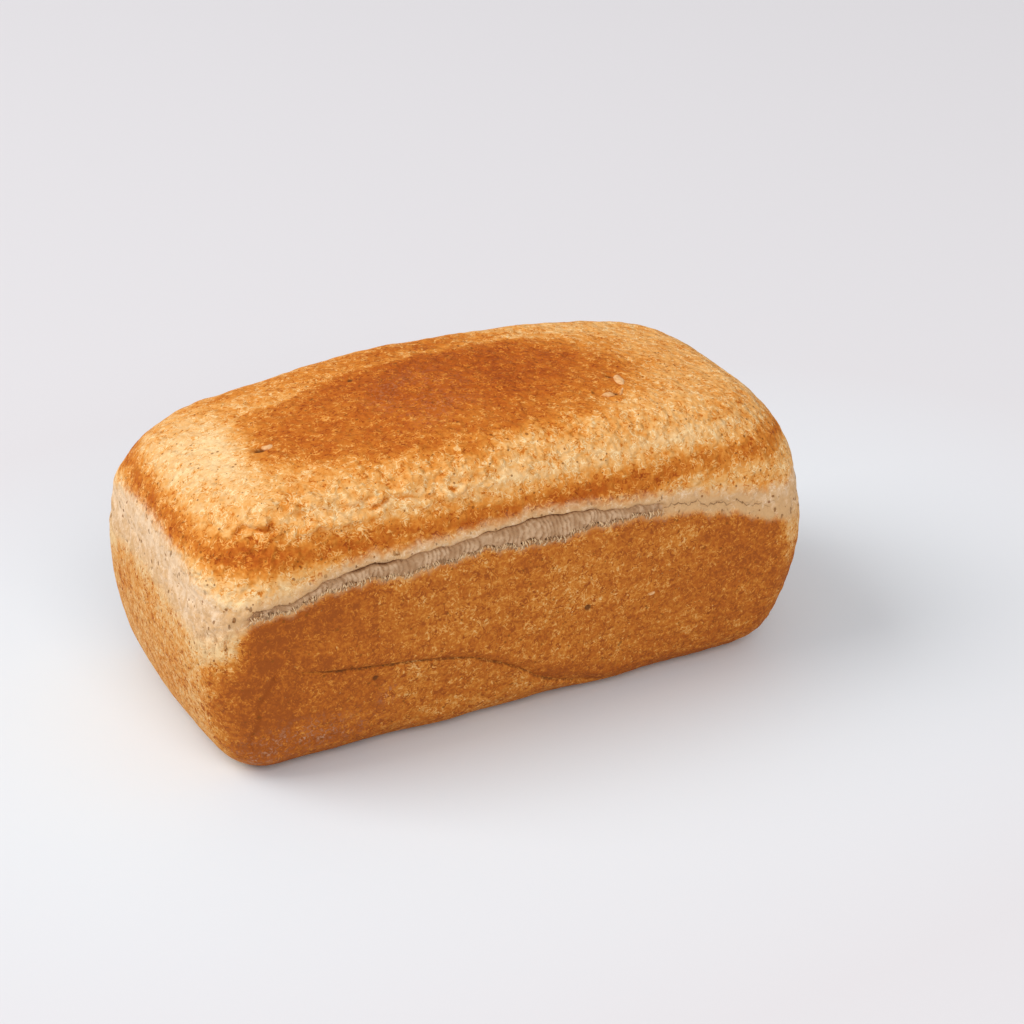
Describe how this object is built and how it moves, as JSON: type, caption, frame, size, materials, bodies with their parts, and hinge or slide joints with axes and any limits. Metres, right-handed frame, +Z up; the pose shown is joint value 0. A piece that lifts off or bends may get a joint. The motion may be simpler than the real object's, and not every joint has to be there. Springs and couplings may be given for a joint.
{
  "type": "tin loaf",
  "caption": "Whole, uncut loaf of tin-baked bread: pressed tan crust below, a torn pale band round it and a golden domed crown.",
  "frame": {"origin": "middle of the flat base that the loaf stands on", "axes": "+X along the loaf's length, +Y across it towards the back, -Y towards the long side with the widest tear, +Z up"},
  "size_m": [0.24, 0.125, 0.1095],
  "materials": {
    "crust": "baked crust, dry, tan below and golden to orange brown on the crown"
  },
  "bodies": {
    "root": {"loaf": "crust"}
  },
  "joints": []
}
